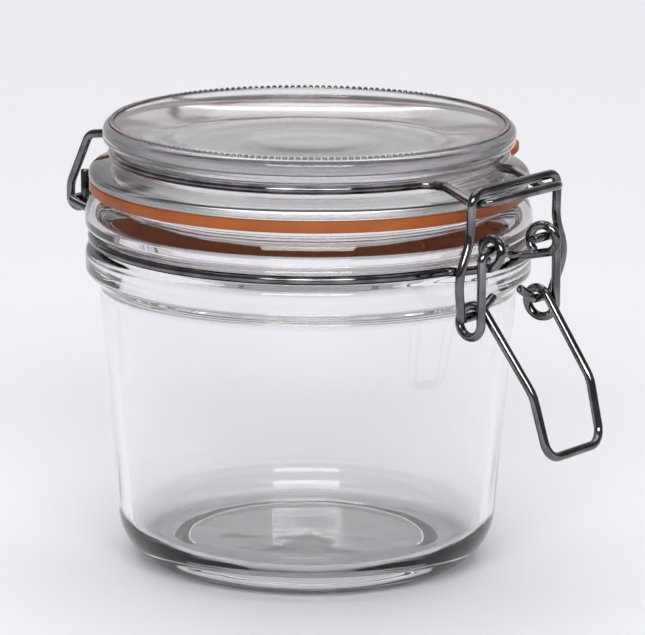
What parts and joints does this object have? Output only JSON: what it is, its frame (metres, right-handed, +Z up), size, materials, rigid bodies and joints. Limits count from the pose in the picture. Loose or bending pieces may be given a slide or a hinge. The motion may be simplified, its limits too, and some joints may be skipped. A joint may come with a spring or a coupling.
{
  "type": "lidded glass canister",
  "caption": "Clear glass storage canister with a beaded glass lid, a rubber seal ring with a pull tab, and a wire bail clasp and hinge.",
  "frame": {"origin": "centre of the jar's base, on the surface that it stands on", "axes": "+Z up along the jar's axis, -Y out through the clasp, +Y out through the hinge, +X to the right seen from the clasp"},
  "size_m": [0.1093, 0.1364, 0.0998],
  "materials": {
    "jar_glass": "clear polished",
    "lid_glass": "clear polished",
    "seal_rubber": "matte",
    "bail_wire": "polished"
  },
  "bodies": {
    "jar": {"glass_jar": "jar_glass", "neck_wire": "bail_wire"},
    "lid": {"glass_lid": "lid_glass", "seal_ring": "seal_rubber", "lid_wire": "bail_wire"},
    "lever": {"lever_wire": "bail_wire"},
    "link": {"link_wire": "bail_wire"}
  },
  "joints": [
    {"name": "lid_hinge", "type": "hinge", "parent": "jar", "child": "lid", "pos_m": [0, 0.059, 0.076], "axis": [-1, 0, 0], "range_deg": [0, 105]},
    {"name": "lever_pivot", "type": "hinge", "parent": "jar", "child": "lever", "pos_m": [0, -0.0577, 0.0796], "axis": [-1, 0, 0], "range_deg": [0, 100]},
    {"name": "link_pivot", "type": "hinge", "parent": "lever", "child": "link", "pos_m": [0, -0.0545, 0.0651], "axis": [-1, 0, 0], "range_deg": [-50, 0]}
  ],
  "couplings": [
    {"joint": "link_pivot", "follows": "lever_pivot", "ratio": -0.5}
  ]
}
